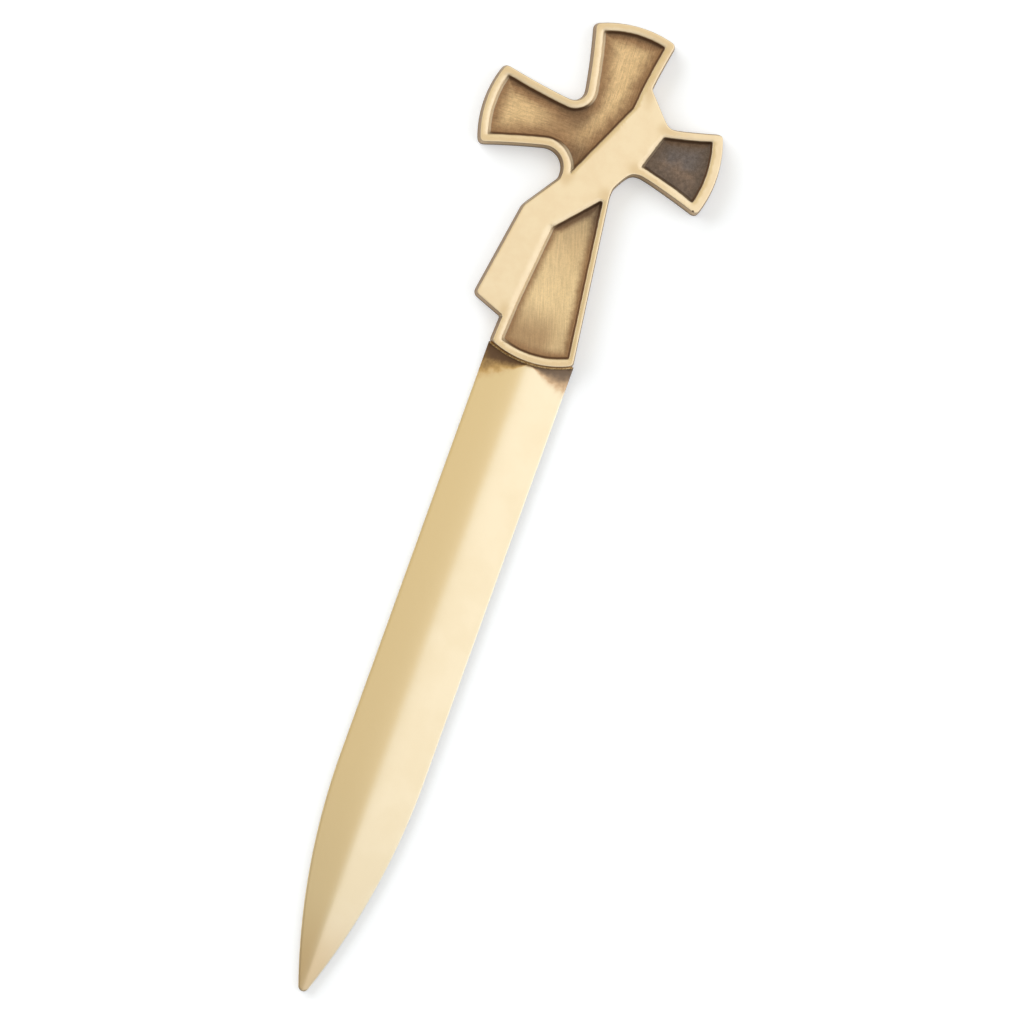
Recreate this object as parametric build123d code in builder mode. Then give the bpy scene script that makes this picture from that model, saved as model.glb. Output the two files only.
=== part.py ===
from build123d import *
import os
from math import cos, hypot, radians, sin, sqrt, tan

# Letter opener: a ridged brass blade whose flat tang is brazed and pinned into the back of a cast
# cross with a stole draped over it. It lies on its back. The blade's axis is Y with the tip towards -Y,
# Z points out of the front face, and the origin is the middle of the shoulder on the resting plane.

# Blade
BLADE_LENGTH = 125.6  # shoulder to tip
BLADE_WIDTH = 16.5
RIDGE_THICKNESS = 2.4  # front ridge to back ridge
EDGE_THICKNESS = 0.8  # blunt cutting edge
POINT_RADIUS = 132.0  # curve that runs in to the point
NOSE_RADIUS = 1.2

# Tang and its fastening
TANG_LENGTH = 24.0
TANG_WIDTH = 7.0
TANG_THICKNESS = 1.4
TANG_CORNER_RADIUS = 1.5
BRAZE_GAP = 0.1  # brazing metal between the tang and its seat
BEAD_WIDTH = 0.35  # brazing bead along the shoulder
BEAD_HEIGHT = 0.3
PIN_DIAMETER = 2.0
PIN_BITE = 0.8  # how far a pin enters the casting
PIN_LEAD = 0.2  # chamfer on the pin's inner end
PIN_CLEARANCE = 0.02
PIN_SPACING = 10.0
FIRST_PIN = 7.0  # shoulder to the first pin

# Cross casting, with its plan measured round the back, where the walls are widest
CROSS_THICKNESS = 4.4
CROSS_DRAFT = 5.0  # slope of the outer walls in degrees
CROSS_BEVEL = 0.25  # height of the bevel along the outer front edges
BEVEL_SLOPE = 45.0
CROSS_LEAN = 2.3  # the cross leans this much against the blade
CROSSING_SHIFT = 0.5  # the short arms meet this far to the right of the long arm's axis
FOOT_REACH = 43.0  # crossing to the shoulder
FOOT_ROOT_WIDTH = 8.5
FOOT_BOW = 1.9  # how far the curved end of the long arm stands out
END_BOW = 1.6  # and that of the short arms
SIDE_BOW = 0.45  # how far the sides of the short arms curve in
TOP_ARM_REACH = 21.4
TOP_ARM_WIDTH = 16.2
TOP_ARM_ROOT_WIDTH = 10.1
TOP_ARM_TURN = -0.3
TOP_END_SKEW = 2.5  # how far the end is cut off square
LEFT_ARM_REACH = 23.2
LEFT_ARM_WIDTH = 16.0
LEFT_ARM_ROOT_WIDTH = 7.6
LEFT_ARM_TURN = 1.6
LEFT_END_SKEW = -3.0
RIGHT_ARM_REACH = 22.8
RIGHT_ARM_WIDTH = 16.5
RIGHT_ARM_ROOT_WIDTH = 6.7
RIGHT_ARM_TURN = -3.2
RIGHT_END_SKEW = 2.0
UPPER_LEFT_FILLET = 2.0
LOWER_LEFT_FILLET = 3.6
LOWER_RIGHT_FILLET = 3.5
RIM_WIDTH = 1.4
FIELD_DEPTH = 1.1
FIELD_DRAFT = 35.0

# Stole outline at its foot, from the crossing, anticlockwise from its upper left corner. Its outer walls
# stand on the back of the cross, and those that face the fields stand on the fields' floor.
STOLE_OUTLINE = [
    (3.9, 13.3),
    (3.9, 9.1),
    (-4.2, -8.65),
    (-9.95, -17.2),
    (-12.9, -35.85),
    (-4.45, -39.1),
    (-2.57, -19.84),
    (4.4, -11.9),
    (4.5, -10.0),
    (7.6, -4.78),
    (8.9, -4.4),
    (11.8, 4.7),
]

half_width = BLADE_WIDTH / 2
blade_middle = RIDGE_THICKNESS / 2
facet_rise = (RIDGE_THICKNESS - EDGE_THICKNESS) / 2
tip = -BLADE_LENGTH
seat_depth = TANG_THICKNESS + BRAZE_GAP
pin_length = seat_depth + PIN_BITE
pin_places = [(0, FIRST_PIN), (0, FIRST_PIN + PIN_SPACING)]
wall_spread = CROSS_THICKNESS * tan(radians(CROSS_DRAFT))
bevel_start = CROSS_THICKNESS - CROSS_BEVEL
cross_axis = Vector(-sin(radians(CROSS_LEAN)), cos(radians(CROSS_LEAN)))
foot_root = cross_axis * FOOT_REACH
crossing = foot_root + Vector(CROSSING_SHIFT, 0)
foot_reach = FOOT_REACH + FOOT_BOW
shoulder_overlap = 2 * FOOT_BOW  # blade and tang stock that the curved foot of the cross cuts through
front_plane = Plane.XY.offset(CROSS_THICKNESS)

# Root and direction of each arm, then its reach, end width, root width, side curve, end curve and skew
top_root = Location(crossing, 90 + CROSS_LEAN + TOP_ARM_TURN)
left_root = Location(crossing, 180 + CROSS_LEAN + LEFT_ARM_TURN)
right_root = Location(crossing, CROSS_LEAN + RIGHT_ARM_TURN)
long_root = Location(foot_root, 270 + CROSS_LEAN)
arm_sizes = [
    (top_root, TOP_ARM_REACH, TOP_ARM_WIDTH, TOP_ARM_ROOT_WIDTH, SIDE_BOW, END_BOW, TOP_END_SKEW),
    (left_root, LEFT_ARM_REACH, LEFT_ARM_WIDTH, LEFT_ARM_ROOT_WIDTH, SIDE_BOW, END_BOW, LEFT_END_SKEW),
    (right_root, RIGHT_ARM_REACH, RIGHT_ARM_WIDTH, RIGHT_ARM_ROOT_WIDTH, SIDE_BOW, END_BOW, RIGHT_END_SKEW),
    (long_root, foot_reach, BLADE_WIDTH, FOOT_ROOT_WIDTH, 0, FOOT_BOW, 0),
]

# Rounding of the three open inner corners, by their side of the crossing. The stole covers the fourth.
inner_fillets = [
    (Vector(-1, 1), UPPER_LEFT_FILLET),
    (Vector(-1, -1), LOWER_LEFT_FILLET),
    (Vector(1, -1), LOWER_RIGHT_FILLET),
]


def arm_outline(reach, end_width, root_width, side_bow, end_bow, end_skew):
    # One flared arm along +X from the crossing, with hollow sides and a bowed end
    square_end = Vector(reach - end_bow, 0)
    chord = Vector(0, end_width / 2).rotate(Axis.Z, end_skew)
    waist = (root_width + end_width) / 4 - side_bow
    with BuildSketch() as arm:
        with BuildLine():
            ThreePointArc(square_end - chord, (reach, 0), square_end + chord)
            Line((0, root_width / 2), (0, -root_width / 2))
            for side in (-1, 1):
                root = Vector(0, side * root_width / 2)
                end = square_end + chord * side
                if side_bow:
                    ThreePointArc(root, (end.X / 2, side * waist), end)
                else:
                    Line(root, end)
        make_face()
    return arm.sketch


def tang_outline(clearance):
    # The tang's plan, grown by the clearance, running down through the foot of the cross
    end = TANG_LENGTH + clearance
    start = -shoulder_overlap
    with BuildSketch() as outline:
        with Locations((0, (start + end) / 2)):
            Rectangle(TANG_WIDTH + 2 * clearance, end - start)
        fillet(outline.vertices().group_by(Axis.Y)[-1], TANG_CORNER_RADIUS + clearance)
    return outline.sketch


def drafted_block(outline):
    # A block on the outline with sloping walls and a bevel round its front edge
    with BuildPart() as block:
        extrude(outline, amount=bevel_start, taper=CROSS_DRAFT)
        extrude(block.faces().sort_by(Axis.Z)[-1], amount=CROSS_BEVEL, taper=BEVEL_SLOPE)
    return block.part


with BuildSketch() as arms:
    for root, *sizes in arm_sizes:
        with Locations(root):
            add(arm_outline(*sizes))
    for side, radius in inner_fillets:
        corner_place = crossing + side * FOOT_ROOT_WIDTH / 2
        fillet(arms.vertices().sort_by_distance(corner_place)[0], radius)

with BuildSketch() as stole:
    with Locations(crossing):
        Polygon(*STOLE_OUTLINE, align=None)

with BuildPart() as casting_blank:
    add(drafted_block(arms.sketch))
    add(drafted_block(stole.sketch))

with BuildPart() as pin_holes:
    with Locations(*pin_places):
        Cylinder(PIN_DIAMETER / 2 + PIN_CLEARANCE, pin_length, align=(Align.CENTER, Align.CENTER, Align.MIN))

# Sunk fields: the space inside the rim, which narrows downwards, with the stole standing in it
with BuildPart() as inside_rim:
    with BuildSketch(front_plane):
        add(arms.sketch)
        offset(amount=-wall_spread - RIM_WIDTH, kind=Kind.INTERSECTION)
    extrude(amount=FIELD_DEPTH, taper=FIELD_DRAFT)

with BuildPart() as fields:
    mirror(inside_rim.part, about=front_plane)
    with BuildSketch(front_plane.offset(-FIELD_DEPTH)):
        add(stole.sketch)
    extrude(amount=FIELD_DEPTH, taper=FIELD_DRAFT, mode=Mode.SUBTRACT)

# Cross casting: arms, rim and stole in one piece, with sunk fields and the tang's seat in its back
with BuildPart() as cross_casting:
    add(casting_blank.part)
    add(fields.part, mode=Mode.SUBTRACT)
    extrude(tang_outline(BRAZE_GAP), amount=seat_depth, mode=Mode.SUBTRACT)
    add(pin_holes.part, mode=Mode.SUBTRACT)

# Blade body: each facet is the edge line carried up a steady slope to the ridge, so the ridge sinks
# towards the point as the blade narrows
nose_middle = tip + NOSE_RADIUS
flank_run = sqrt((POINT_RADIUS - NOSE_RADIUS) ** 2 - (POINT_RADIUS - half_width) ** 2)
flank_start = nose_middle + flank_run
nose_turn = NOSE_RADIUS / (POINT_RADIUS - NOSE_RADIUS)
nose_start = (nose_turn * (POINT_RADIUS - half_width), nose_middle - nose_turn * flank_run)

with BuildPart() as blade_body:
    with BuildSketch(Plane.XY.offset(blade_middle + EDGE_THICKNESS / 2)) as right_side:
        with BuildLine():
            straight = Line((half_width, shoulder_overlap), (half_width, flank_start))
            flank = TangentArc(straight @ 1, nose_start, tangent=straight % 1)
            nose = TangentArc(flank @ 1, (0, tip), tangent=flank % 1)
            Polyline(nose @ 1, (-half_width, tip), (-half_width, shoulder_overlap), straight @ 0)
        make_face()
    facet_slope = (-half_width, 0, facet_rise)
    extrude(right_side.sketch, amount=hypot(half_width, facet_rise), dir=facet_slope)
    extrude(right_side.sketch, amount=-EDGE_THICKNESS / 2)
    split(bisect_by=Plane.YZ)
    mirror(about=Plane.YZ)
    mirror(about=Plane.XY.offset(blade_middle))
    split(bisect_by=Plane(origin=(0, 0, 0), z_dir=cross_axis), keep=Keep.BOTTOM)

with BuildPart() as tang:
    extrude(tang_outline(0), amount=TANG_THICKNESS)
    add(casting_blank.part, mode=Mode.INTERSECT)

with BuildPart() as blade:
    add(blade_body.part)
    add(casting_blank.part, mode=Mode.SUBTRACT)
    add(tang.part)
    add(pin_holes.part, mode=Mode.SUBTRACT)

# Brazing metal: the bead along the shoulder, and the film that fills the seat round the tang
with BuildPart() as bead:
    add(blade_body.part.moved(Location((0, 0, BEAD_HEIGHT))))
    add(casting_blank.part.moved(Location((0, -BEAD_WIDTH, 0))), mode=Mode.INTERSECT)
    add(blade_body.part, mode=Mode.SUBTRACT)
    add(casting_blank.part, mode=Mode.SUBTRACT)

with BuildPart() as braze_seam:
    extrude(tang_outline(BRAZE_GAP), amount=seat_depth)
    add(casting_blank.part, mode=Mode.INTERSECT)
    extrude(tang_outline(0), amount=TANG_THICKNESS, mode=Mode.SUBTRACT)
    add(pin_holes.part, mode=Mode.SUBTRACT)
    add(bead.part)

with BuildPart() as tang_pins:
    with Locations(*pin_places):
        Cylinder(PIN_DIAMETER / 2, pin_length, align=(Align.CENTER, Align.CENTER, Align.MIN))
    chamfer(tang_pins.edges().group_by(Axis.Z)[-1], PIN_LEAD)

os.makedirs("parts", exist_ok=True)
named_pieces = [
    ("blade", blade),
    ("cross_casting", cross_casting),
    ("braze_seam", braze_seam),
    ("tang_pins", tang_pins),
]
for name, piece in named_pieces:
    piece.part.label = name
    export_step(piece.part, f"parts/{name}.step")
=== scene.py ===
from math import cos, pi, radians, sin, sqrt, tan

import bmesh
import bpy
import numpy as np
from mathutils import Matrix, Vector
from mathutils.geometry import delaunay_2d_cdt


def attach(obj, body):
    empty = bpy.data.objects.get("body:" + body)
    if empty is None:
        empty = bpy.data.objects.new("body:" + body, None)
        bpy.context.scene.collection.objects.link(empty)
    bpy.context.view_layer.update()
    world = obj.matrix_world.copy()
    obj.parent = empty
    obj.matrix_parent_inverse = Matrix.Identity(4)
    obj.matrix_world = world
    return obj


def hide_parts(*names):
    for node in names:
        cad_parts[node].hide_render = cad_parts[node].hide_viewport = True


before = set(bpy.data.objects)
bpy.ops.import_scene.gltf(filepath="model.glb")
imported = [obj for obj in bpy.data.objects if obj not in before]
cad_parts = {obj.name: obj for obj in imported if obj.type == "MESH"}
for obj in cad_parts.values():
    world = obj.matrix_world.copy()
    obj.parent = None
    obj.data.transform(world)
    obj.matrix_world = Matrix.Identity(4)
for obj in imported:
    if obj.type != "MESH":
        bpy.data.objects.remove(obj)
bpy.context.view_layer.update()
mm = 0.001


# node trees: wires that do sums, and one method for every other node

class Wire:
    def __init__(self, tree, socket):
        self.tree = tree
        self.socket = socket

    def calc(self, operation, *others):
        values = dict(enumerate([self, *others]))
        return self.tree.add("ShaderNodeMath", {"operation": operation}, values)

    def squared(self):
        return self.calc("POWER", 2)

    def within(self, low, high):
        return self.calc("MAXIMUM", low).calc("MINIMUM", high)

    def __add__(self, other):
        return self.calc("ADD", other)

    def __mul__(self, other):
        return self.calc("MULTIPLY", other)

    def __sub__(self, other):
        return self.calc("SUBTRACT", other)

    def __truediv__(self, other):
        return self.calc("DIVIDE", other)

    def __rsub__(self, other):
        return self.tree.add("ShaderNodeMath", {"operation": "SUBTRACT"}, {0: other, 1: self})

    def __neg__(self):
        return self * -1

    def __abs__(self):
        return self.calc("ABSOLUTE")

    __radd__ = __add__
    __rmul__ = __mul__


class NodeTree:
    def __init__(self, tree):
        self.tree = tree

    def add(self, kind, settings=None, values=None, out=0):
        node = self.tree.nodes.new(kind)
        for key, value in (settings or {}).items():
            setattr(node, key, value)
        for key, value in (values or {}).items():
            if isinstance(value, Wire):
                self.tree.links.new(value.socket, node.inputs[key])
            else:
                node.inputs[key].default_value = value
        return None if out is None else Wire(self, node.outputs[out])

    def ramp(self, value, low, high, first=0.0, last=1.0):  # smooth step from first to last
        return self.add("ShaderNodeMapRange", {"interpolation_type": "SMOOTHSTEP"},
                        {0: value, 1: low, 2: high, 3: first, 4: last})

    def blend(self, share, first, second, mode="MIX"):  # two colours
        return self.add("ShaderNodeMix", {"data_type": "RGBA", "blend_type": mode},
                        {0: share, 6: first, 7: second}, 2)

    def noise(self, place, scale, detail=2.0, rough=0.5):
        values = {"Vector": place, "Scale": scale, "Detail": detail, "Roughness": rough}
        return self.add("ShaderNodeTexNoise", {}, values)

    def position(self):  # x, y and z of each point
        place = self.add("GeometryNodeInputPosition")
        split = self.add("ShaderNodeSeparateXYZ", {}, {0: place}).socket.node
        return [Wire(self, s) for s in split.outputs]


def tint(red, green, blue):  # screen colour to linear
    parts = [c / 255 for c in (red, green, blue)]
    return (*[c / 12.92 if c < 0.0405 else ((c + 0.055) / 1.055) ** 2.4 for c in parts], 1)


class Finish(NodeTree):
    def __init__(self, name):
        self.material = bpy.data.materials.new(name)
        self.material.use_nodes = True
        super().__init__(self.material.node_tree)
        self.shader = self.tree.nodes["Principled BSDF"]
        place = self.add("ShaderNodeTexCoord", {}, {}, 3)
        self.place = self.add("ShaderNodeVectorMath", {"operation": "SCALE"},
                              {0: place, "Scale": 1 / mm})
        split = self.add("ShaderNodeSeparateXYZ", {}, {0: self.place}).socket.node
        self.x, self.y, self.z = [Wire(self, s) for s in split.outputs]  # millimetres

    def attribute(self, name):
        return self.add("ShaderNodeAttribute", {"attribute_name": name}, {}, 2)

    def gapTo(self, spot):  # distance from a spot on the piece
        return self.add("ShaderNodeVectorMath", {"operation": "DISTANCE"},
                        {0: self.place, 1: spot}, 1)

    def stretched(self, turn, along, across):  # coordinates drawn out along a direction
        values = {"Vector": self.place, "Scale": (along, across, 1),
                  "Rotation": (0, 0, radians(turn))}
        return self.add("ShaderNodeMapping", {"vector_type": "TEXTURE"}, values)

    def bump(self, height, distance, strength=1.0, below=None):
        values = {"Height": height, "Distance": distance * mm, "Strength": strength}
        if below:
            values["Normal"] = below
        return self.add("ShaderNodeBump", {}, values)

    def paint(self, **sockets):
        for name, value in sockets.items():
            socket = self.shader.inputs[name.replace("_", " ")]
            if isinstance(value, Wire):
                self.tree.links.new(value.socket, socket)
            else:
                socket.default_value = value
        return self.material


# plane geometry in millimetres

# boundary loops of the upward faces at that height, outer ones anticlockwise
def planeLoops(node, height):
    mesh = node.data
    spots = np.array([v.co for v in mesh.vertices]) / mm
    welded, index = np.unique(np.round(spots, 3), axis=0, return_inverse=True)
    index = index.ravel()
    ahead = {}
    for face in mesh.polygons:
        corners = [int(index[v]) for v in face.vertices]
        if face.normal.z > 0.9 and all(abs(welded[c][2] - height) < 0.01 for c in corners):
            for a, b in zip(corners, corners[1:] + corners[:1]):
                if ahead.get(b) and a in ahead[b]:
                    ahead[b].remove(a)
                else:
                    ahead.setdefault(a, []).append(b)
    loops = []
    while any(ahead.values()):
        start = next(k for k, v in ahead.items() if v)
        loop, here = [start], ahead[start].pop()
        while here != start:
            loop.append(here)
            here = ahead[here].pop()
        loops.append(welded[loop][:, :2])
    return loops


def area(loop):
    x, y = loop.T
    return 0.5 * float(np.sum(x * np.roll(y, -1) - y * np.roll(x, -1)))


def evenly(loop, step):
    closed = np.vstack([loop, loop[:1]])
    run = np.concatenate([[0], np.cumsum(np.hypot(*np.diff(closed, axis=0).T))])
    at = np.linspace(0, run[-1], int(round(run[-1] / step)), endpoint=False)
    return np.stack([np.interp(at, run, closed[:, k]) for k in (0, 1)], 1)


def softened(loop, step, reach):  # corners rounded by a bell-shaped average along the loop
    span = int(4 * reach / step)
    total = np.zeros_like(loop)
    weight = 0
    for k in range(-span, span + 1):
        w = np.exp(-0.5 * (k * step / reach) ** 2)
        total += w * np.roll(loop, k, axis=0)
        weight += w
    return total / weight


def moved(loop, inward):  # loop shifted to its left, by one distance or one for each point
    return loop + np.reshape(inward, (-1, 1)) * inwardOf(loop)


# signed distance in widths, positive inside, and where on the loop
def nearestWall(points, loop, widths=1.0):
    a, b = loop, np.roll(loop, -1, axis=0)
    edge = b - a
    rise = np.where(edge[:, 1] == 0, 1e-12, edge[:, 1])
    size = (edge ** 2).sum(1)
    depth = np.empty(len(points))
    where = np.empty(len(points), int)
    batch = 1500
    for i in range(0, len(points), batch):
        p = points[i:i + batch, None]
        t = np.clip(((p - a) * edge).sum(2) / size, 0, 1)
        gap = p - a - t[..., None] * edge
        far = np.sqrt((gap ** 2).sum(2)) / widths
        where[i:i + batch] = far.argmin(1)
        cross = (a[:, 1] > p[..., 1]) != (b[:, 1] > p[..., 1])
        at = a[:, 0] + (p[..., 1] - a[:, 1]) * edge[:, 0] / rise
        inside = (cross & (p[..., 0] < at)).sum(1) % 2 == 1
        depth[i:i + batch] = far.min(1) * np.where(inside, 1, -1)
    return depth, where


def depthIn(points, loop):
    return nearestWall(points, loop)[0]


def inwardOf(loop):  # unit normals to the left of the loop
    along = np.roll(loop, -1, axis=0) - np.roll(loop, 1, axis=0)
    along /= np.hypot(*along.T)[:, None]
    return np.stack([-along[:, 1], along[:, 0]], 1)


def gridIn(low, high, step):
    x = np.arange(low[0], high[0], step)
    y = np.arange(low[1], high[1], step)
    grid = np.stack(np.meshgrid(x, y), 2)
    grid[::2, :, 0] += step / 2
    return grid.reshape(-1, 2)


# what each point of the cross knows, for its finish
pointValues = ("wallShare", "floorReach", "rimInset", "fieldNumber", "litWall", "shadyWall")


class Shell:  # points, faces and point values of a piece under construction, in millimetres
    def __init__(self):
        self.spots = []
        self.faces = []
        self.flat = []
        self.values = []

    def put(self, plan, heights, values=None):
        first = len(self.spots)
        heights = np.broadcast_to(heights, len(plan))
        values = np.broadcast_to(0 if values is None else values, (len(plan), len(pointValues)))
        self.spots += [(*p, z) for p, z in zip(plan.tolist(), heights.tolist())]
        self.values += values.tolist()
        return np.arange(first, first + len(plan))

    def face(self, corners, flat=False):
        self.faces.append([int(c) for c in corners])
        self.flat.append(flat)

    def strip(self, lower, upper, flat=False):  # walls between two rings of as many points
        for a, b, c, d in zip(lower, np.roll(lower, -1), np.roll(upper, -1), upper):
            self.face((a, b, c, d), flat)

    def fill(self, rings, extra, facing=1, flat=False):  # the first ring outside, the rest holes
        index = np.concatenate([*rings, extra]).astype(int)
        plan = np.array([self.spots[i][:2] for i in index])
        edges, start = [], 0
        for ring in rings:
            edges += [(start + k, start + (k + 1) % len(ring)) for k in range(len(ring))]
            start += len(ring)
        found = delaunay_2d_cdt([Vector(p) for p in plan], edges, [], 0, 1e-7)
        corners = np.array([list(f) for f in found[2]])
        source = [ids[0] if ids else -1 for ids in found[3]]
        spots = np.array([tuple(v) for v in found[0]])
        middle = spots[corners].mean(1)
        keep = np.ones(len(middle), bool)
        for k, ring in enumerate(rings):
            inside = depthIn(middle, np.array([self.spots[i][:2] for i in ring])) > 0
            keep &= inside if k == 0 else ~inside
        for tri in corners[keep]:
            ids = [index[source[c]] for c in tri]
            self.face(ids if facing > 0 else ids[::-1], flat)

    def piece(self, name, names=()):
        mesh = bpy.data.meshes.new(name)
        mesh.from_pydata([tuple(c * mm for c in s) for s in self.spots], [], self.faces)
        mesh.polygons.foreach_set("use_smooth", [not f for f in self.flat])
        for k, label in enumerate(names):
            layer = mesh.attributes.new(label, "FLOAT", "POINT")
            layer.data.foreach_set("value", [v[k] for v in self.values])
        bm = bmesh.new()
        bm.from_mesh(mesh)
        bmesh.ops.recalc_face_normals(bm, faces=bm.faces)
        bm.to_mesh(mesh)
        bm.free()
        thing = bpy.data.objects.new(name, mesh)
        bpy.context.scene.collection.objects.link(thing)
        return thing


def plate(shell, outline, holes, low, high):  # a flat plate with holes
    rings = {}
    for z in (low, high):
        rings[z] = [shell.put(loop, z) for loop in (outline, *holes)]
        shell.fill(rings[z], [], 1 if z == high else -1, True)
    for lower, upper in zip(rings[low], rings[high]):
        shell.strip(lower, upper, True)


# joint between the cross and the blade, seen only from behind
joint = {
    "footRadius": 18.86, "footCentre": (-0.681, 16.95),  # curved foot of the cross at its back
    "tangHalf": 3.5, "tangEnd": 24.0, "tangCorner": 1.5, "tangThick": 1.4,
    "gap": 0.1, "pinPlaces": (7.0, 17.0), "pinHole": 1.02,
    "seatInset": 0.15, "filmInset": 0.2,  # how far in from the foot the seat and the film begin
}


def footLine(x, inset=0.0):
    cx, cy = joint["footCentre"]
    return cy - sqrt((joint["footRadius"] - inset) ** 2 - (x - cx) ** 2)


def tangOutline(grow, inset):  # anticlockwise, its lower end along the curved foot
    half, end, r = [joint[k] + grow for k in ("tangHalf", "tangEnd", "tangCorner")]
    path = [(x, footLine(x, inset)) for x in np.linspace(-half, half, 15)]
    for cx, start in ((half - r, 0), (r - half, 90)):
        turns = [radians(start + a) for a in range(0, 91, 15)]
        path += [(cx + r * cos(t), end - r + r * sin(t)) for t in turns]
    return np.array(path)


# cross casting

castCross = {
    "front": 4.4, "floor": 3.3,
    "step": 0.16,           # spacing of points along the edges
    "cornerSoft": 0.38,     # rounding of the outline in plan
    "innerSoft": 1.1,       # more of it at the inner corners on the right
    "innerCorners": ((10.0, 48.0), (6.2, 37.3), (3.4, 32.0)),
    "fieldSoft": 0.28,
    "edgeInset": 0.613,     # from the back outline to the solid's flat front
    "wallSlope": tan(radians(5)),
    "backRound": ((0.11, 0.0), (0.04, 0.03), (0.012, 0.11)),  # inset and height
    "wallHeights": (0.35, 0.9, 1.6, 2.4, 3.1, 3.7),
    "edgeRound": 0.2,
    "flatGrow": 0.15,       # how far the flat front spreads over the solid's bevel
    "steepWall": 0.4,       # plan width of a field's wall
    "shallowWall": 0.5,     # and of a lit one
    "lightSide": (0.94, 0.34), "shadySide": (0.34, -0.94),  # where lit and shady walls face
    "lip": 0.17,            # rounding at a wall's top
    "litLip": 0.3,          # more of it where the wall is lit
    "cove": 0.3,            # rounding at its foot
    "coveSink": 0.05,       # brings the rounded floor back down
    "sag": 0.06,            # hollow in the middle of a field's floor
    "sagStart": 1.2, "sagRun": 3,
    "wander": 0.012,        # unevenness of the cast edges
    "wanderSoft": 0.3,
    "thinRim": 0.5,         # how much narrower the rim is to the right of the lower field
    "wideRim": 0.5,         # how much wider it is at the end of the right arm
    "lipRows": (-0.4, -0.26, -0.16, -0.09, -0.03),  # rows of points outside a field's edge
    "wallRows": (0.03, 0.08, 0.13, 0.18, 0.24, 0.3, 0.37, 0.45, 0.54, 0.64, 0.75, 0.87,
                 1.0, 1.15, 1.35, 1.6),             # and inside it
    "floorStart": 0.5,      # where a floor counts as begun
    "floorGrid": 0.45, "floorClear": 1.85,          # other points of a floor
    "frontGrid": 0.6, "edgeClear": 0.2, "fieldClear": 0.55,
    "frontRow": 0.1, "slack": 0.02,
    "farShare": -3, "farReach": -4, "farInset": 3,  # values far from fields or outline
}


def fieldDrop(share, depth, lit):  # height against the front
    c = castCross
    lip = c["lip"] + c["litLip"] * lit
    drop = c["front"] - c["floor"]
    wall = -drop * share
    top = -0.5 * (np.sqrt(wall ** 2 + lip ** 2) - wall)
    gap = top + drop
    floor = -drop + 0.5 * (gap + np.sqrt(gap ** 2 + c["cove"] ** 2)) - c["coveSink"]
    sink = np.clip((depth - c["sagStart"]) / c["sagRun"], 0, 1) ** 2
    return np.where(share < -0.9, 0, floor) - c["sag"] * sink


def facing(loop, side):  # how far each point's wall faces that side, from 0 to 1
    start, run, soft = 0.45, 0.45, 0.5
    share = np.clip((inwardOf(loop) @ np.array(side) - start) / run, 0, 1)
    share = share * share * (3 - 2 * share)
    return softened(share[:, None], castCross["step"], soft)[:, 0]


def crossLoops():  # rounded outline, and the three fields: upper left, lower, right
    c = castCross
    step = c["step"]
    loops = [evenly(l, step) for l in planeLoops(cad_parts["cross_casting"], c["front"])]
    loops.sort(key=lambda l: -abs(area(l)))
    outer = softened(loops[0], step, c["cornerSoft"])
    for corner in c["innerCorners"]:
        near = np.clip(1.5 - np.hypot(*(loops[0] - corner).T) / 3, 0, 1)[:, None]
        outer = outer * (1 - near) + softened(outer, step, c["innerSoft"]) * near
    fields = [l[::-1] for l in loops[1:4]]
    fields.sort(key=lambda l: l[:, 0].mean())
    return outer, fields


def shiftedRim(loop, number):
    c = castCross
    move = np.zeros_like(loop)
    if number == 2:
        move[:, 0] = np.clip((-inwardOf(loop)[:, 0] - 0.8) / 0.15, 0, 1) * c["thinRim"]
    if number == 3:
        move[:, 0] = -np.clip((loop[:, 0] - loop[:, 0].max() + 4) / 3, 0, 1) * c["wideRim"]
    return loop + move


def makeField(shell, loop, number, chance):  # its ring on the flat front, and its edge
    c = castCross
    step = c["step"]
    loop = softened(evenly(shiftedRim(loop, number), step), step, c["fieldSoft"])
    rough = softened(chance.normal(size=(len(loop), 1)), step, c["wanderSoft"])
    loop = moved(loop, rough / rough.std() * c["wander"])
    lit, shady = [facing(loop, c[side]) for side in ("lightSide", "shadySide")]
    lit = lit * (0.5 if number == 3 else 1)
    widths = c["steepWall"] + (c["shallowWall"] - c["steepWall"]) * lit

    def put(plan, share, depth, lit, shady):
        none = 0 * share
        values = np.stack([share, none + depth - c["floorStart"], none + c["farInset"],
                           none + number, lit, shady], 1)
        return shell.put(plan, c["front"] + fieldDrop(share, depth, lit), values)

    # lip, then wall, cove and floor
    rings = [put(moved(loop, inset), inset / widths, inset, lit, shady) for inset in c["lipRows"]]
    for lower, upper in zip(rings, rings[1:]):
        shell.strip(lower, upper)
    rows = []
    for inset in c["wallRows"]:
        plan = moved(loop, inset)
        clear = depthIn(plan, loop) > inset - c["slack"]
        rows.append(plan[clear][::1 if inset < 1 else 2])
    grid = gridIn(loop.min(0), loop.max(0), c["floorGrid"])
    rows.append(grid[depthIn(grid, loop) > c["floorClear"]])
    inner = np.vstack(rows)
    share, where = nearestWall(inner, loop, widths)
    inside = put(inner, share, depthIn(inner, loop), lit[where], shady[where])
    shell.fill([rings[-1]], inside)
    return rings[0], loop


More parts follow.
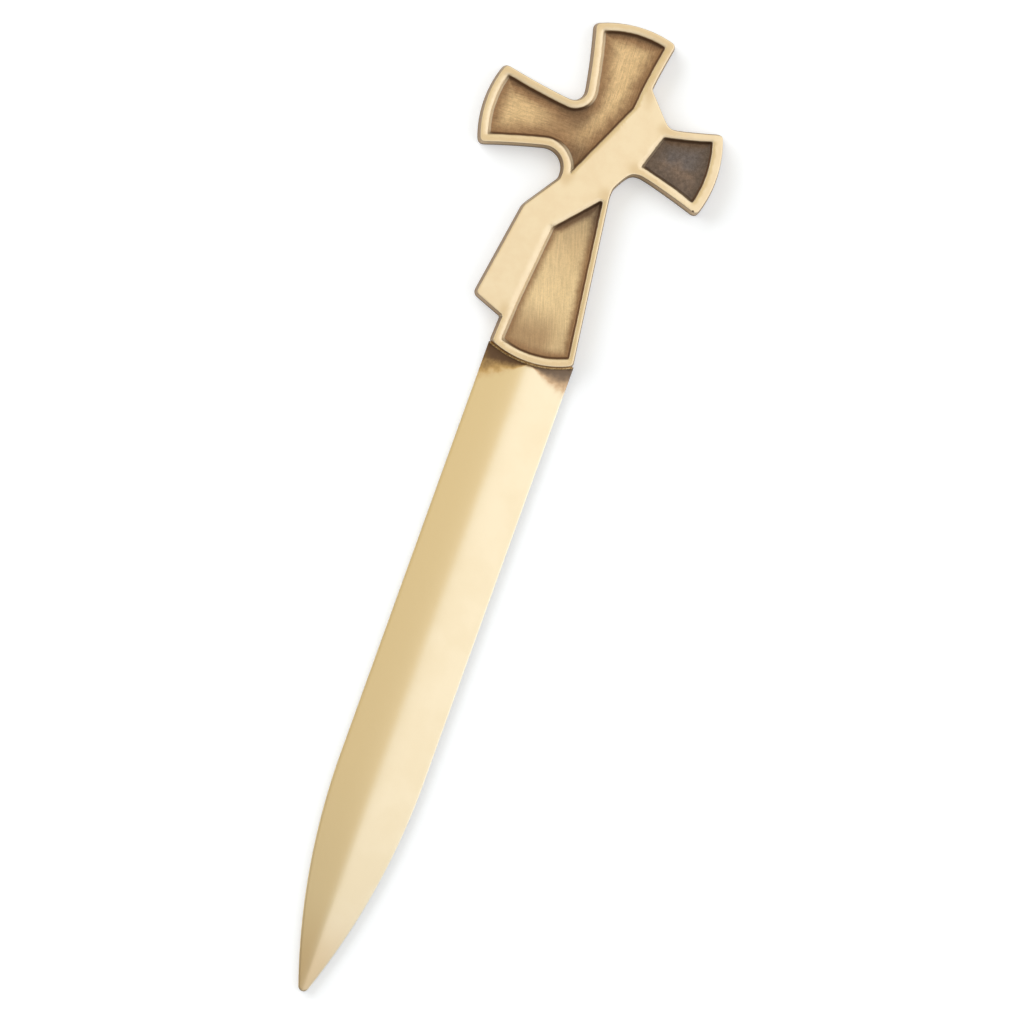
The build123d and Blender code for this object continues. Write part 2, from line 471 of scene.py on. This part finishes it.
def makeCross():
    c = castCross
    chance = np.random.default_rng(11)
    outer, fields = crossLoops()
    outline = moved(outer, -c["edgeInset"])
    shell = Shell()

    # walls from the back edge up, and the rounded front edge
    slope = c["wallSlope"]
    wall = [*c["backRound"], *[(z * slope, z) for z in c["wallHeights"]]]
    roundFoot = c["front"] - c["edgeRound"]
    run = c["edgeInset"] - c["flatGrow"] - roundFoot * slope
    for turn in range(0, 91, 15):
        t = radians(turn)
        wall.append((roundFoot * slope + run * (1 - cos(t)), roundFoot + c["edgeRound"] * sin(t)))
    faceLeft = facing(outline, c["lightSide"])
    none = 0 * faceLeft
    rings = []
    for inset, z in wall:
        values = np.stack([none + c["farShare"], none + c["farReach"], none + inset, none,
                           faceLeft, none], 1)
        rings.append(shell.put(moved(outline, inset), z, values))
    for lower, upper in zip(rings, rings[1:]):
        shell.strip(lower, upper)
    lips, edges = zip(*[makeField(shell, loop, k, chance) for k, loop in enumerate(fields, 1)])

    # flat front between the outline and the fields
    grid = gridIn(outer.min(0), outer.max(0), c["frontGrid"])
    grid = grid[depthIn(grid, outer) > c["edgeClear"]]
    for loop in edges:
        grid = grid[-depthIn(grid, loop) > c["fieldClear"]]
    near = moved(outer, c["frontRow"])
    near = near[depthIn(near, outer) > c["frontRow"] - c["slack"]]
    flat = np.vstack([near, grid])
    inset = depthIn(flat, outer) + c["edgeInset"]
    away = np.max([depthIn(flat, l) for l in edges], axis=0)
    none = 0 * away
    values = np.stack([none - 1, away, inset, none, none, none], 1)
    shell.fill([rings[-1], *lips], shell.put(flat, c["front"], values))

    # back, with the seat for the tang
    seat = tangOutline(joint["gap"], joint["seatInset"])
    behind = (c["farShare"], c["farReach"], wall[0][0], 0, 0, 0)
    mouth = shell.put(seat, 0.0, behind)
    roof = shell.put(seat, joint["tangThick"] + joint["gap"], behind)
    shell.fill([rings[0], mouth], [], -1, True)
    shell.strip(mouth, roof, True)
    shell.fill([roof], [], -1, True)
    piece = shell.piece("castCross", pointValues)
    print("cast cross:", len(piece.data.vertices), "points", len(piece.data.polygons), "faces")
    return piece


# blade: a tube of rings whose section and outline follow a rule

footRule = {
    "Foot Radius": joint["footRadius"], "Wall Slope": castCross["wallSlope"],
    "Foot X": joint["footCentre"][0], "Foot Y": joint["footCentre"][1],
}
bladeRule = {
    "Length": 125.6, "Half Width": 8.25, "Middle": 1.2, "Edge": 0.8, "Rise": 0.8,
    "Point Radius": 132.0, "Nose Radius": 1.0,
    "Ridge Soft": 1.9, "Ridge Crisp": 0.35,  # half width of the rounded ridge
    "Soft From": -70.0, "Crisp At": -126.0,
    "Edge Bevel": 0.34, "Bevel Slope": 0.14, "Bevel Limit": 0.2,
    "Row Crowding": 1.6, "Column Crowding": 1.5,  # towards the point and the edges
    "Side Share": 1.03, "Edge Share": 0.24,       # part of a turn that the edges take
    "Bend From": -14.0,                           # where rows start to follow the foot
    **footRule,
}


def ruleTree(name, sizes):  # an empty geometry tree with one named input for each size
    tree = bpy.data.node_groups.new(name, "GeometryNodeTree")
    tree.interface.new_socket("Geometry", in_out="OUTPUT", socket_type="NodeSocketGeometry")
    for label in sizes:
        tree.interface.new_socket(label, in_out="INPUT", socket_type="NodeSocketFloat")
    build = NodeTree(tree)
    inputs = tree.nodes.new("NodeGroupInput")
    return build, {label: Wire(build, inputs.outputs[label]) for label in sizes}


def grown(name, build, sizes, shape, material):  # the tree's result as a plain mesh
    done = build.add("GeometryNodeRealizeInstances", {}, {0: shape})
    done = build.add("GeometryNodeSetMaterial", {}, {0: done, "Material": material})
    end = build.tree.nodes.new("NodeGroupOutput")
    build.tree.links.new(done.socket, end.inputs[0])
    base = bpy.data.objects.new(name + "Rule", bpy.data.meshes.new(name + "Rule"))
    bpy.context.scene.collection.objects.link(base)
    modifier = base.modifiers.new(name, "NODES")
    modifier.node_group = build.tree
    for item in build.tree.interface.items_tree:
        if item.in_out == "INPUT":
            modifier[item.identifier] = float(sizes[item.name])
    ready = base.evaluated_get(bpy.context.evaluated_depsgraph_get())
    mesh = bpy.data.meshes.new_from_object(ready)
    base.modifiers.remove(modifier)
    bpy.data.objects.remove(base)
    mesh.name = name
    mesh.materials.clear()
    mesh.materials.append(material)
    mesh.polygons.foreach_set("material_index", [0] * len(mesh.polygons))
    return mesh


def withPlate(name, mesh, shell, mend=False):  # a mesh and a plate as one piece
    extra = shell.piece(name + "Plate")
    bm = bmesh.new()
    bm.from_mesh(mesh)
    if mend:  # faces without area, and the open end
        bmesh.ops.dissolve_degenerate(bm, dist=0.001 * mm, edges=bm.edges)
        openEdges = [e for e in bm.edges if e.is_boundary]
        bmesh.ops.triangle_fill(bm, use_beauty=True, edges=openEdges, normal=(0, 1, 0))
    bmesh.ops.recalc_face_normals(bm, faces=bm.faces)
    bm.from_mesh(extra.data)
    bm.to_mesh(mesh)
    bm.free()
    bpy.data.objects.remove(extra)
    piece = bpy.data.objects.new(name, mesh)
    bpy.context.scene.collection.objects.link(piece)
    return piece


def footCurve(size, x, z):  # foot of the cross at that height
    arc = size["Foot Radius"].squared() - (x - size["Foot X"]).squared()
    return size["Foot Y"] - arc.calc("SQRT") + z * size["Wall Slope"]


def bladeSection(build, size, along, turn):  # place in millimetres, and gap to the edge
    tip = -size["Length"]
    y = tip * (1 - (1 - along).calc("POWER", size["Row Crowding"]))
    noseMiddle = tip + size["Nose Radius"]
    nose = size["Nose Radius"].squared() - (y - noseMiddle).squared()
    nose = nose.calc("MAXIMUM", 0).calc("SQRT")
    span = size["Point Radius"] - size["Nose Radius"]
    back = size["Point Radius"] - size["Half Width"]
    run = (span.squared() - back.squared()).calc("SQRT")
    past = (noseMiddle + run - y).calc("MAXIMUM", 0)
    flank = (size["Point Radius"].squared() - past.squared()).calc("SQRT") - back
    noseEnd = noseMiddle - size["Nose Radius"] / span * run
    rounded = y.calc("LESS_THAN", noseEnd)
    half = rounded * nose + (1 - rounded) * flank.calc("MAXIMUM", 0)
    side = (turn.calc("COSINE") * size["Side Share"]).within(-1, 1)
    x = half * side.calc("SIGN") * abs(side).calc("POWER", size["Column Crowding"])
    lift = turn.calc("SINE")
    edge = (lift / size["Edge Share"]).within(-1, 1) * size["Edge"] * 0.5
    crisp = size["Ridge Crisp"]
    soft = build.ramp(y, size["Crisp At"], size["Soft From"])
    soft = crisp + (size["Ridge Soft"] - crisp) * soft
    soft = soft.calc("MINIMUM", half * 0.4 + 0.01)
    slope = size["Rise"] / size["Half Width"]
    spread = (x.squared() + soft.squared()).calc("SQRT")
    facet = slope * (half - spread).calc("MAXIMUM", 0)
    nearEdge = (abs(x) - half + size["Edge Bevel"]).calc("MAXIMUM", 0) * size["Bevel Slope"]
    upper = (lift * 50).within(-1, 1)  # 1 on top, -1 underneath
    z = size["Middle"] + edge + upper * (facet - nearEdge.calc("MINIMUM", size["Bevel Limit"]))
    y = y + footCurve(size, x, z) * build.ramp(y, size["Bend From"], 0.0)
    return x, y, z, half - abs(x)


def makeBlade(material):
    build, size = ruleTree("bladeRule", bladeRule)
    rows, columns, weld = 190, 144, 0.004
    sheet = build.add("GeometryNodeMeshGrid", {}, {"Size X": 1.0, "Size Y": 1.0,
                                                   "Vertices X": columns + 1, "Vertices Y": rows})
    across, along = build.position()[:2]
    *parts, gap = bladeSection(build, size, along + 0.5, (across + 0.5) * (2 * pi))
    place = build.add("ShaderNodeCombineXYZ", {}, {k: part * mm for k, part in enumerate(parts)})
    for kind, values in (("StoreNamedAttribute", {"Name": "edgeGap", "Value": gap}),
                         ("SetPosition", {"Position": place}),
                         ("MergeByDistance", {"Distance": weld * mm}),
                         ("SetShadeSmooth", {})):
        sheet = build.add("GeometryNode" + kind, {}, {0: sheet, **values})
    mesh = grown("bladeBody", build, bladeRule, sheet, material)

    # tang with its two pin holes
    shell = Shell()
    turns = np.linspace(0, 2 * pi, 40, endpoint=False)
    hole = joint["pinHole"] * np.stack([np.cos(turns), np.sin(turns)], 1)
    holes = [hole + (0, y) for y in joint["pinPlaces"]]
    plate(shell, tangOutline(0, 0.0), holes, 0.0, joint["tangThick"])
    piece = withPlate("ridgedBlade", mesh, shell, True)
    print("ridged blade:", len(mesh.vertices), "points", len(mesh.polygons), "faces")
    return piece


# brazing bead along the shoulder, and the film round the tang

beadRule = {
    "Half Width": 8.05, "Radius": 0.2, "Unevenness": 0.35, "Lumps": 900.0,
    "Ridge Top": 2.32, "Edge Top": 1.62, "Lift": 0.02, "Sink": 0.04,
    "Taper From": 0.96, "Taper": 0.7,
    **footRule,
}


def makeBraze(material):
    build, size = ruleTree("beadRule", beadRule)
    points, sides = 160, 10
    ends = {"Start": (-1, 0, 0), "End": (1, 0, 0)}
    line = build.add("GeometryNodeCurvePrimitiveLine", {}, ends)
    line = build.add("GeometryNodeResampleCurve", {}, {0: line, "Count": points})
    side = build.position()[0]
    x = side * size["Half Width"]
    rise = (size["Ridge Top"] - size["Edge Top"]) * (1 - abs(side))
    z = size["Edge Top"] + rise + size["Lift"]
    y = footCurve(size, x, z) - size["Sink"]
    place = build.add("ShaderNodeCombineXYZ", {}, {0: x * mm, 1: y * mm, 2: z * mm})
    line = build.add("GeometryNodeSetPosition", {}, {0: line, "Position": place})
    lumps = build.noise(place, size["Lumps"])
    girth = size["Radius"] * mm * (1 + size["Unevenness"] * (lumps - 0.5) * 2)
    girth = girth * (1 - build.ramp(abs(side), size["Taper From"], 1.0, 0.0, size["Taper"]))
    line = build.add("GeometryNodeSetCurveRadius", {}, {0: line, "Radius": girth})
    ring = build.add("GeometryNodeCurvePrimitiveCircle", {}, {"Resolution": sides, "Radius": 1.0})
    radius = build.add("GeometryNodeInputRadius")
    bead = build.add("GeometryNodeCurveToMesh", {}, {0: line, 1: ring, "Fill Caps": True,
                                                     "Scale": radius})
    bead = build.add("GeometryNodeSetShadeSmooth", {}, {0: bead})
    mesh = grown("brazeBead", build, beadRule, bead, material)
    shell = Shell()
    seat = tangOutline(joint["gap"], joint["seatInset"])
    plate(shell, seat, [tangOutline(0, joint["filmInset"])], 0.0, joint["tangThick"])
    piece = withPlate("brazeSeam", mesh, shell)
    print("braze seam:", len(mesh.vertices), "points")
    return piece


# finishes

castSpots = {
    "brown": (-8.6, 42.6, 3.3),  # left of the crossing
    "corners": ((-7.4, 45.4, 3.3), (-4.9, 37.2, 3.3)),  # dark corners of the upper field
    "flaw": (19.1, 35.2, 4.4),
}


def castFinish():
    f = Finish("castBrass")
    share, reach, inset, number, lit, shady = [f.attribute(n) for n in pointValues]
    cloudy = f.noise(f.place, 0.35, 3.0)
    mottle = f.noise(f.place, 1.7, 4.0, 0.6)
    grain = f.noise(f.place, 4.5, 3.0, 0.6)
    # streaks of the brush in each field, along its arm
    sideways = f.noise(f.stretched(2.3, 2.6, 0.2), 1.0, 4.0, 0.6)
    upright = f.noise(f.stretched(2.3, 0.2, 2.6), 1.0, 4.0, 0.6)
    slanted = f.noise(f.stretched(17.0, 0.24, 4.0), 1.0, 4.0, 0.6)
    isLower = number.calc("COMPARE", 2.0, 0.4)
    isRight = number.calc("COMPARE", 3.0, 0.4)
    leftArm = f.ramp(f.x, -9.0, -3.0, 1.0, 0.0)
    streak = leftArm * sideways + (1 - leftArm) * upright
    streak = isLower * slanted + (1 - isLower) * streak
    # floors: brown at the walls, under the stole and in one spot, rubbed lighter elsewhere
    spot = f.gapTo(castSpots["brown"])
    clouds = (mottle - 0.5) * 1.5 + (cloudy - 0.5) * 1.6
    # painted shade: floors rubbed less along the walls on the shady side
    paintedShade = shady * f.ramp(reach, 0.2, 2.4, 0.8, 0.0)
    rub = f.ramp(reach * (1 + isLower * 1.1) - paintedShade + clouds, -0.1, 3.5)
    rub = rub * f.ramp(spot, 1.0, 8.0, 0.2, 1.0)
    rub = rub * (1 - isLower * f.ramp(f.y, 12.0, 29.0, 0.0, 0.5))
    foot = isLower * f.ramp(f.y, 3.0, 11.0, 0.75, 0.0) * f.ramp(f.x, 0.5, 4.0, 1.0, 0.4)
    rub = rub * (1 - foot)
    patina = f.blend(isRight, tint(166, 130, 94), tint(112, 97, 85))
    patina = f.blend(isLower * f.ramp(f.y, 20.0, 30.0), patina, tint(122, 100, 80))
    rubbed = f.blend(isLower, tint(234, 202, 153), tint(243, 216, 168))
    dusk = f.ramp(f.y + (cloudy - 0.5) * 12, 37.0, 45.0)
    dusk = f.blend(dusk, tint(144, 120, 100), tint(118, 108, 103))
    rubbed = f.blend(isRight, rubbed, dusk)
    floor = f.blend(rub, patina, rubbed)
    # painted shade: a dark brown band along the walls on the shady side
    paintedShade = shady * f.ramp(reach + (mottle - 0.5) * 0.8, 0.0, 1.1, 0.75, 0.0)
    floor = f.blend(paintedShade, floor, tint(114, 88, 64))
    for corner in castSpots["corners"]:
        dark = f.ramp(f.gapTo(corner) + (mottle - 0.5) * 2, 0.8, 4.6, 0.6, 0.0)
        floor = f.blend(dark, floor, tint(116, 90, 66))
    streak = isRight * mottle + (1 - isRight) * streak
    speck = f.ramp(streak * 0.5 + grain * 0.3 + mottle * 0.2, 0.33, 0.67)
    shade = 0.74 + isLower * 0.08 + speck * (0.42 - isLower * 0.14)
    grey = f.add("ShaderNodeCombineColor", {}, {k: shade for k in range(3)})
    floor = f.blend(1.0, floor, grey, "MULTIPLY")
    # walls of the fields: dark, with a painted highlight in pale cream where they face the light
    wallWithHighlight = f.blend(lit, tint(126, 98, 72), tint(250, 234, 200))
    field = f.blend(f.ramp(share, 0.75, 1.15), wallWithHighlight, floor)
    # raised faces, rims a little darker than the stole
    raised = f.blend(f.ramp(cloudy, 0.35, 0.65), tint(237, 217, 183), tint(240, 222, 189))
    rim = f.ramp(reach, -3.4, -1.4) * f.ramp(inset, 1.2, 3.6, 1.0, 0.0)
    raised = f.blend(rim * f.ramp(f.x, 10.0, 16.0, 0.6, 0.1), raised, tint(214, 188, 145))
    side = f.blend(f.ramp(mottle, 0.35, 0.7), tint(214, 179, 126), tint(226, 194, 144))
    # painted dark reflection: a brown line on the outer walls just under the rounded front edge;
    # the walls are also darker towards their foot
    line = f.blend(f.ramp(mottle, 0.3, 0.7), tint(140, 110, 76), tint(172, 138, 98))
    outside = f.blend(f.ramp(inset, 0.02, 0.2), tint(146, 116, 80), side)
    outside = f.blend(f.ramp(inset, 0.28, 0.33, 0.0, 0.55), outside, line)
    outside = f.blend(lit * 0.7, outside, tint(160, 122, 74))  # painted shade: outer walls darker where they face left
    raised = f.blend(f.ramp(inset, 0.37, 0.42), outside, raised)
    flaw = f.ramp(f.gapTo(castSpots["flaw"]), 0.12, 0.32, 1.0, 0.0)
    raised = f.blend(flaw, raised, tint(84, 62, 46))
    inField = f.ramp(share, -0.05, 0.3)
    colour = f.blend(inField, raised, field)
    glint = inField * lit * f.ramp(share, 0.75, 1.15, 1.0, 0.0)  # painted highlight: walls facing the light, less metallic so they read brighter
    dull = inField - glint
    rough = 0.38 + (grain - 0.5) * 0.08 + dull * 0.14
    metal = 1.0 - dull * 0.25 - glint * 0.65
    bump = f.bump(grain, 0.012, 0.35)
    bump = f.bump((streak * 0.5 + grain * 0.5) * dull, 0.05, 0.5, bump)
    return f.paint(Base_Color=colour, Roughness=rough, Metallic=metal, Normal=bump)


def bladeFinish():
    f = Finish("satinBrass")
    cloudy = f.noise(f.place, 0.12, 3.0)
    mottle = f.noise(f.place, 0.8, 3.0)
    brushed = f.noise(f.stretched(0.0, 0.15, 9.0), 1.0, 2.0)
    # tarnish in the two low corners under the cross, deeper on the left
    middle, bend, low = -0.68, 0.0265, -1.91  # curve of the foot of the cross
    below = (f.x - middle) * (f.x - middle) * bend + low - f.y
    left = (-f.x - 0.3).calc("MAXIMUM", 0) * 0.72
    right = (f.x - 1.0).calc("MAXIMUM", 0) * 0.6
    stain = 1 - f.ramp(below / (left + right + 0.25) + (mottle - 0.5) * 0.7, 0.0, 1.55)
    stain = stain * f.ramp(f.y, 1.0, 4.0, 1.0, 0.2)  # the tang is cleaner
    base = f.blend(f.ramp(cloudy, 0.35, 0.65), tint(238, 222, 189), tint(241, 226, 195))
    base = f.blend(f.ramp(f.x, -1.5, 0.5, 1.0, 0.0), base, tint(237, 217, 177))  # painted shade: left facet a little darker and warmer
    base = f.blend(f.ramp(f.y, -124.0, -106.0, 0.45, 0.0), base, tint(210, 176, 128))
    # painted shade: the stain's colours are darker on the left facet too
    amber = f.blend(f.ramp(f.x, -1.0, 1.0), tint(216, 180, 122), tint(222, 188, 150))
    colour = f.blend(f.ramp(stain, 0.0, 0.5), base, amber)
    dark = f.blend(f.ramp(f.x, -1.0, 1.0), tint(108, 83, 62), tint(132, 113, 96))
    colour = f.blend(f.ramp(stain, 0.25, 0.95), colour, dark)
    nearEdge = f.ramp(f.attribute("edgeGap"), 0.1, 0.3, 0.7, 0.0) * f.ramp(f.y, -6.0, -3.0, 1.0, 0.0)
    colour = f.blend(nearEdge * f.ramp(f.x, 0.2, 0.6), colour, tint(255, 249, 230))  # painted highlight along the right edge
    rough = 0.36 + (brushed - 0.5) * 0.06 + stain * 0.16
    metal = 1.0 - stain * 0.3
    bump = f.bump(brushed, 0.008, 0.3)
    return f.paint(Base_Color=colour, Roughness=rough, Metallic=metal, Normal=bump)


def brazeFinish():
    f = Finish("brazeMetal")
    lumps = f.noise(f.place, 3.0, 3.0)
    colour = f.blend(f.ramp(lumps, 0.35, 0.65), tint(176, 140, 92), tint(232, 206, 156))
    rough = 0.34 + lumps * 0.2
    bump = f.bump(lumps, 0.03, 0.5)
    return f.paint(Base_Color=colour, Roughness=rough, Metallic=1.0, Normal=bump)


def pinFinish():
    f = Finish("filedPin")
    filed = f.noise(f.stretched(30.0, 3.0, 0.12), 1.0, 2.0)
    colour = f.blend(f.ramp(filed, 0.3, 0.7), tint(204, 172, 118), tint(232, 206, 156))
    rough = 0.3 + filed * 0.2
    bump = f.bump(filed, 0.01, 0.4)
    return f.paint(Base_Color=colour, Roughness=rough, Metallic=1.0, Normal=bump)


# pieces

cross = makeCross()
cross.data.materials.append(castFinish())
blade = makeBlade(bladeFinish())
braze = makeBraze(brazeFinish())
for piece, node, slot in ((cross, "cross_casting", "cast_brass"), (blade, "blade", "blade_brass"),
                          (braze, "braze_seam", "braze")):
    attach(piece, "root")
    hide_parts(node)
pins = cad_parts["tang_pins"]
pins.data.materials.clear()
pins.data.materials.append(pinFinish())
print("pieces ready")

# floor, light and camera

studio = {
    "floorSize": 4.0, "floorColour": (0.77, 0.8, 0.84, 1), "floorGlow": 0.32, "world": 0.3,
    "camera": (-66.0, -20.0, 1200.0), "target": (6.638, -28.652, 0.0),  # millimetres
    "roll": 19.81, "lens": 226.97, "sensor": 36, "farEnd": 20,
}


def makeFloor():
    mesh = bpy.data.meshes.new("floor")
    half = studio["floorSize"] / 2
    corners = [(-half, -half, 0), (half, -half, 0), (half, half, 0), (-half, half, 0)]
    mesh.from_pydata(corners, [], [(0, 1, 2, 3)])
    floor = bpy.data.objects.new("floor", mesh)
    bpy.context.scene.collection.objects.link(floor)
    material = bpy.data.materials.new("paleFloor")
    material.use_nodes = True
    build = NodeTree(material.node_tree)
    material.node_tree.nodes.clear()
    matt = build.add("ShaderNodeBsdfDiffuse", {}, {"Color": studio["floorColour"]})
    seen = build.add("ShaderNodeLightPath")  # whitens what the camera sees, and lights nothing
    glow = build.add("ShaderNodeEmission", {}, {"Strength": studio["floorGlow"]})
    glow = build.add("ShaderNodeMixShader", {}, {0: seen, 2: glow})
    both = build.add("ShaderNodeAddShader", {}, {0: matt, 1: glow})
    build.add("ShaderNodeOutputMaterial", {}, {"Surface": both}, None)
    mesh.materials.append(material)


def makeLamp(name, place, aim, size, power, colour=(1, 1, 1)):
    lamp = bpy.data.lights.new(name, "AREA")
    lamp.shape = "RECTANGLE"
    lamp.size, lamp.size_y = size
    lamp.energy = power
    lamp.color = colour
    thing = bpy.data.objects.new(name, lamp)
    thing.location = place
    thing.rotation_euler = (Vector(aim) - Vector(place)).to_track_quat("-Z", "Y").to_euler()
    bpy.context.scene.collection.objects.link(thing)
    return thing


def makeStudio():
    scene = bpy.context.scene
    world = bpy.data.worlds.new("studio")
    scene.world = world
    world.use_nodes = True
    sky = world.node_tree.nodes["Background"].inputs
    sky["Strength"].default_value = studio["world"]
    sky["Color"].default_value = (1, 1, 1, 1)
    makeFloor()
    makeLamp("rightSoftbox", (0.7, 0.4, 1.5), (0.7, 0.4, 0), (1.5, 1.64), 8.4)
    makeLamp("warmCard", (-0.6, 0.5, 1.5), (-0.6, 0.5, 0), (1.1, 1.5), 2.9, (1, 0.79, 0.25))
    makeLamp("sideCard", (1.1, 0.3, 0.5), (0, 0.3, 0.1), (1.4, 0.9), 4.0)
    makeLamp("leftKey", (-0.9, 0.42, 0.55), (0, 0, 0), (1.4, 1.0), 13.2).visible_glossy = False
    makeLamp("leftCard", (-1.1, -0.2, 0.45), (0, 0, 0.1), (1.2, 0.8), 3.5).visible_diffuse = False
    scene.view_settings.view_transform = "Standard"
    back = Vector(studio["camera"]).normalized()
    upright = (Vector((0, 1, 0)) - back * back.y).normalized()
    right = upright.cross(back)
    roll = radians(studio["roll"])
    across = right * cos(roll) + upright * sin(roll)
    above = upright * cos(roll) - right * sin(roll)
    camera = bpy.data.objects.new("camera", bpy.data.cameras.new("camera"))
    scene.collection.objects.link(camera)
    camera.data.lens = studio["lens"]
    camera.data.sensor_width = studio["sensor"]
    camera.data.clip_end = studio["farEnd"]
    place = (Vector(studio["target"]) + Vector(studio["camera"])) * mm
    turned = Matrix((across, above, back)).transposed()
    camera.matrix_world = Matrix.Translation(place) @ turned.to_4x4()
    scene.camera = camera


makeStudio()
print("studio ready")
